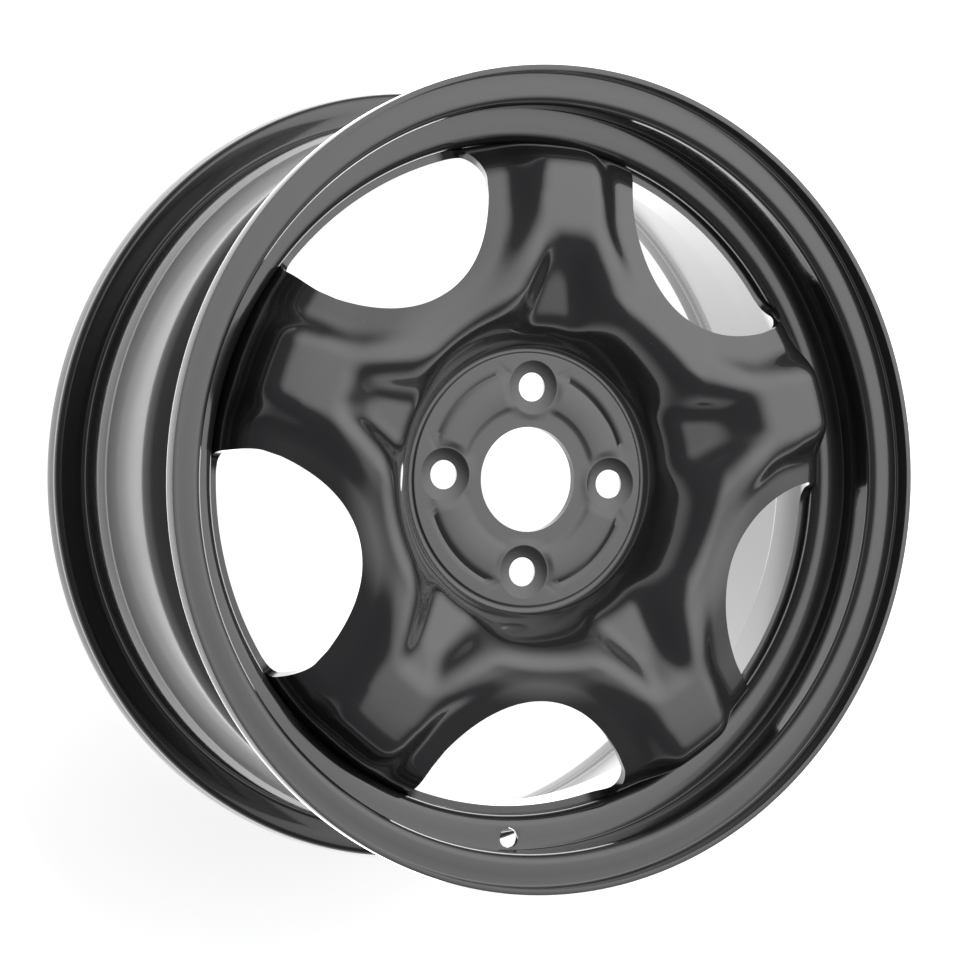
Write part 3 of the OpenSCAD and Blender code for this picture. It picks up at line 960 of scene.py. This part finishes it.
def build_welds(context):
    settings = wheel(context)
    sizes = settings.weld
    star = Star(settings.disc, settings.hub)
    wall = star.skirt_r + settings.disc.skirt_gap
    foot = star.skirt_top - settings.disc.skirt_h
    runs = settings.disc.spokes * sizes.per_spoke
    middle = FIRST_SPOKE + math.pi / runs
    corner = Vector((wall, 0, foot))
    bulge = [math.radians(90 * k / 6) for k in range(7)]
    face = [corner - Vector((math.cos(t), 0, math.sin(t))) * sizes.leg for t in bulge]
    points = [corner, *face, corner]
    obj = first_point("weld_runs", points[0])
    draw_line(points)
    bpy.ops.mesh.select_all(action="SELECT")
    bpy.ops.mesh.remove_doubles(threshold=0.001 * MM)
    bpy.ops.mesh.select_all(action="SELECT")
    bpy.ops.mesh.edge_face_add()
    bpy.ops.transform.rotate(value=-middle - sizes.sweep / 2, orient_axis="Z", center_override=(0, 0, 0))
    bpy.ops.mesh.spin(steps=72, angle=sizes.sweep, center=(0, 0, 0), axis=(0, 0, 1))
    bpy.ops.mesh.select_all(action="SELECT")

    def ripple(point):
        """Draws the run in at its ends and into a scale pattern between them."""
        turn = turn_from(point, middle)
        r = math.hypot(point.x, point.y)
        off = Vector((wall - r, foot - point.z))
        place = turn * wall + off.y * 0.35
        end = min(1.0, (sizes.sweep / 2 - abs(turn)) * wall / (3 * MM))
        waves = sizes.ripple * abs(math.sin(math.pi * place / sizes.pitch)) / sizes.leg
        scale = (0.45 + 0.37 * math.sqrt(max(end, 0.0))) * (1 + waves)
        off *= scale
        r = wall - off.x
        return Vector((math.cos(turn + middle) * r, math.sin(turn + middle) * r, foot - off.y))

    place_selected(obj, ripple)
    bpy.ops.mesh.select_all(action="SELECT")
    bpy.ops.mesh.normals_make_consistent(inside=False)
    bpy.ops.mesh.spin(
        steps=runs - 1, angle=FULL_TURN * (runs - 1) / runs, dupli=True, center=(0, 0, 0), axis=(0, 0, 1)
    )
    done()
    finish_mesh(obj, [], black_paint("weld_paint", wave=0.1, peel=2.0, rough=0.12), smooth=50)
    hand_over(obj, "weld_beads")


# Stage


WHITE = (1.0, 1.0, 1.0)
MATERIAL_END = "ShaderNodeOutputMaterial"

# Radii at which each ring of the floor begins, is full, starts to fade and ends: the painted shadow, where
# the floor's glow is dimmed round the wheel, and two rings that glow only in reflections, a painted
# reflection on the barrel's outside and inside
PAINTED_SHADOW_RADII = (0.18, 0.23, 0.35, 1.2)
LIT_OUTSIDE = (0.225, 0.235, 0.245, 0.268)
LIT_INSIDE = (0.092, 0.108, 0.178, 0.186)


def soft_panel(name, at, half, brightness):
    """A square panel that glows from its middle and fades towards its edges, facing the wheel."""
    bpy.ops.object.select_all(action="DESELECT")
    bpy.ops.mesh.primitive_plane_add(size=2 * half, location=at)
    panel = newest(name)
    panel.rotation_euler = Vector(at).to_track_quat("Z", "Y").to_euler()
    material = bpy.data.materials.new(name)
    start = bare_tree(material)
    place = start.add("ShaderNodeTexCoord", out=3)
    out = start.add("ShaderNodeVectorMath", {"operation": "LENGTH"}, {0: place}, out=1)
    fade = 1 - out.between(0.06 * half, half) * 0.92
    show(start.add("ShaderNodeEmission", {}, {"Color": WHITE, "Strength": fade * brightness}), MATERIAL_END)
    panel.data.materials.append(material)
    panel.visible_camera = False
    panel.visible_shadow = False


def key_lamp(at, size, brightness):
    """A round lamp above the wheel that lights the floor and throws the wheel's shadow."""
    bpy.ops.object.light_add(type="AREA", location=at, rotation=at.to_track_quat("Z", "Y").to_euler())
    lamp = bpy.context.active_object
    lamp.name = "key_light"
    lamp.data.shape = "DISK"
    lamp.data.size = size
    lamp.data.energy = brightness * math.pi * math.pi * size**2 / 4
    lamp.visible_camera = False
    lamp.visible_glossy = False


def picture_axes(studio):
    """The picture's right, up and towards-the-front directions on the wheel, as seen along its axle."""
    right = Vector((math.cos(studio.turn), math.sin(studio.turn), 0))
    up = Vector((-math.sin(studio.turn), math.cos(studio.turn), 0))
    return right, up, Vector((0, 0, 1))


def build_camera(studio):
    """The camera at the picture's angle, aimed past the wheel's front."""
    right, up, front = picture_axes(studio)
    axle = Vector((
        math.sin(studio.off_axis) * math.cos(studio.tip),
        -math.sin(studio.tip),
        math.cos(studio.off_axis) * math.cos(studio.tip),
    ))
    level = Vector((0, 1, 0)).cross(axle).normalized()
    rise = axle.cross(level)
    to_camera = Matrix((level, rise, axle)).transposed() @ Matrix((right, up, front))
    to_world = to_camera.transposed()
    target = Vector((0, 0, RIM_HIGH[2]))
    offset = Vector((studio.aim_right, -studio.aim_down, -studio.distance))
    bpy.ops.object.camera_add()
    camera = bpy.context.active_object
    camera.name = "camera"
    camera.matrix_world = Matrix.Translation(target - to_world @ offset) @ to_world.to_4x4()
    camera.data.sensor_width = 36.0
    camera.data.lens = studio.lens
    camera.data.clip_end = 100
    bpy.context.scene.camera = camera


def build_world(studio):
    """White walls that darken to the ceiling's colour, and show white behind the floor."""
    world = bpy.data.worlds.new("studio")
    bpy.context.scene.world = world
    start = bare_tree(world)
    place = start.add("ShaderNodeTexCoord", out=0)
    rise = start.add("ShaderNodeSeparateXYZ", {}, {"Vector": place}, out=2)
    room = rise.between(0.05, 0.42).blend(WHITE, studio.ceiling)
    seen = start.add("ShaderNodeLightPath", out=0)
    sky = seen.blend(room, WHITE)
    background = start.add("ShaderNodeBackground", {}, {"Color": sky, "Strength": 1.0})
    show(background, "ShaderNodeOutputWorld")


def floor_material(studio):
    """Pale floor that shows white. The wheel's soft shadow is partly cast by the key lamp and partly painted
    by dimming the floor's glow near the wheel. Two rings glow only in reflections, as a painted reflection
    on the barrel.
    """
    material = bpy.data.materials.new("floor")
    start = bare_tree(material)
    place = start.add("ShaderNodeTexCoord", out=3)
    grain = start.add("ShaderNodeTexNoise", {}, {"Vector": place, "Scale": 3.0, "Detail": 3.0})
    tone = grain.between(0.3, 0.7).blend(studio.floor, [c * 0.985 for c in studio.floor])
    level = start.add("ShaderNodeVectorMath", {"operation": "MULTIPLY"}, {0: place, 1: (1.0, 1.0, 0.0)})
    out = start.add("ShaderNodeVectorMath", {"operation": "LENGTH"}, {0: level}, out=1)
    # Painted reflection: two rings of floor glow only for glossy rays, so the barrel's outside and inside
    # mirror bright bands that no lamp makes
    mirrored_glow = out.band(*LIT_OUTSIDE) * studio.outer_mirrored_glow + out.band(*LIT_INSIDE) * studio.barrel
    camera = start.add("ShaderNodeLightPath", out=0)
    glossy = start.add("ShaderNodeLightPath", out=3)
    through = start.add("ShaderNodeLightPath", out=6)
    shown = camera.largest(glossy).largest(through)
    # Painted shadow: the floor's glow is dimmed in a ring round the wheel, and for the camera only in the
    # lower part of the picture
    upper = start.add("ShaderNodeSeparateXYZ", {}, {"Vector": place}, out=1).between(-0.24, -0.04)
    painted_shadow = out.band(*PAINTED_SHADOW_RADII) * studio.shade * (1 - camera * upper)
    strength = shown * (1 - painted_shadow) + glossy * mirrored_glow
    glow = start.add("ShaderNodeEmission", {}, {"Color": WHITE, "Strength": strength})
    matt = start.add("ShaderNodeBsdfDiffuse", {}, {"Color": tone})
    show(start.add("ShaderNodeAddShader", {}, {0: glow, 1: matt}), MATERIAL_END)
    return material


def build_stage(context):
    studio = wheel(context).studio
    right, up, front = picture_axes(studio)
    build_camera(studio)
    build_world(studio)
    bpy.ops.object.select_all(action="DESELECT")
    bpy.ops.mesh.primitive_circle_add(
        vertices=96, radius=8.0, fill_type="NGON", location=(0, 0, RIM_LOW[2] - 0.2 * MM)
    )
    floor = newest("floor")
    bpy.ops.object.transform_apply(location=True, rotation=True, scale=True)
    floor.data.materials.append(floor_material(studio))
    lean, rise = studio.panel_lean, studio.panel_rise
    toward = (right * math.sin(lean) + front * math.cos(lean)) * math.cos(rise) + up * math.sin(rise)
    panel_far, panel_half = 2.2, 3.1
    soft_panel("front_panel", toward * panel_far, panel_half, studio.panel)
    lamp_size = 0.45
    key_lamp(right * 0.35 + up * 1.1 + front * 2.2, lamp_size, studio.key)
    bpy.context.scene.view_settings.view_transform = "Standard"


# Operators


class BuildStep:
    """Runs the build function of an operator."""

    def execute(self, context):
        self.build(context)
        return {"FINISHED"}


class WHEEL_OT_rim(BuildStep, bpy.types.Operator):
    """Spin the rim's section into a hoop and open the valve hole"""

    bl_idname = "wheel.rim"
    bl_label = "Roll the Rim"
    build = staticmethod(build_rim)


class WHEEL_OT_disc(BuildStep, bpy.types.Operator):
    """Stamp the disc with its hub, spokes, pockets and windows"""

    bl_idname = "wheel.disc"
    bl_label = "Stamp the Disc"
    build = staticmethod(build_disc)


class WHEEL_OT_welds(BuildStep, bpy.types.Operator):
    """Lay the weld runs between the disc's skirt and the rim"""

    bl_idname = "wheel.welds"
    bl_label = "Weld the Disc"
    build = staticmethod(build_welds)


class WHEEL_OT_stage(BuildStep, bpy.types.Operator):
    """Set up the floor, the light and the camera"""

    bl_idname = "wheel.stage"
    bl_label = "Set the Stage"
    build = staticmethod(build_stage)


class WheelSettings(bpy.types.PropertyGroup):
    """All settings of the wheel."""

    rim: bpy.props.PointerProperty(type=RimSizes)
    hub: bpy.props.PointerProperty(type=HubSizes)
    disc: bpy.props.PointerProperty(type=DiscSizes)
    weld: bpy.props.PointerProperty(type=WeldSizes)
    paint: bpy.props.PointerProperty(type=PaintFinish)
    studio: bpy.props.PointerProperty(type=StudioSetup)


class WHEEL_PT_sidebar(bpy.types.Panel):
    """Lists the wheel's operators and settings"""

    bl_label = "Steel Wheel"
    bl_space_type = "VIEW_3D"
    bl_region_type = "UI"
    bl_category = "Steel Wheel"

    def draw(self, context):
        layout = self.layout
        for step in STEPS:
            layout.operator(step.bl_idname)
        settings = wheel(context)
        for part in settings.__annotations__:
            group = getattr(settings, part)
            box = layout.box()
            for name in group.__annotations__:
                box.prop(group, name)


GROUPS = (RimSizes, HubSizes, DiscSizes, WeldSizes, PaintFinish, StudioSetup, WheelSettings)
STEPS = (WHEEL_OT_rim, WHEEL_OT_disc, WHEEL_OT_welds, WHEEL_OT_stage)
CLASSES = (*GROUPS, *STEPS, WHEEL_PT_sidebar)


def register():
    for cls in CLASSES:
        bpy.utils.register_class(cls)
    bpy.types.Scene.steel_wheel = bpy.props.PointerProperty(type=WheelSettings)


def unregister():
    del bpy.types.Scene.steel_wheel
    for cls in reversed(CLASSES):
        bpy.utils.unregister_class(cls)


def main():
    register()
    bpy.ops.wheel.rim()
    bpy.ops.wheel.disc()
    bpy.ops.wheel.welds()
    bpy.ops.wheel.stage()


if __name__ == "__main__":
    main()
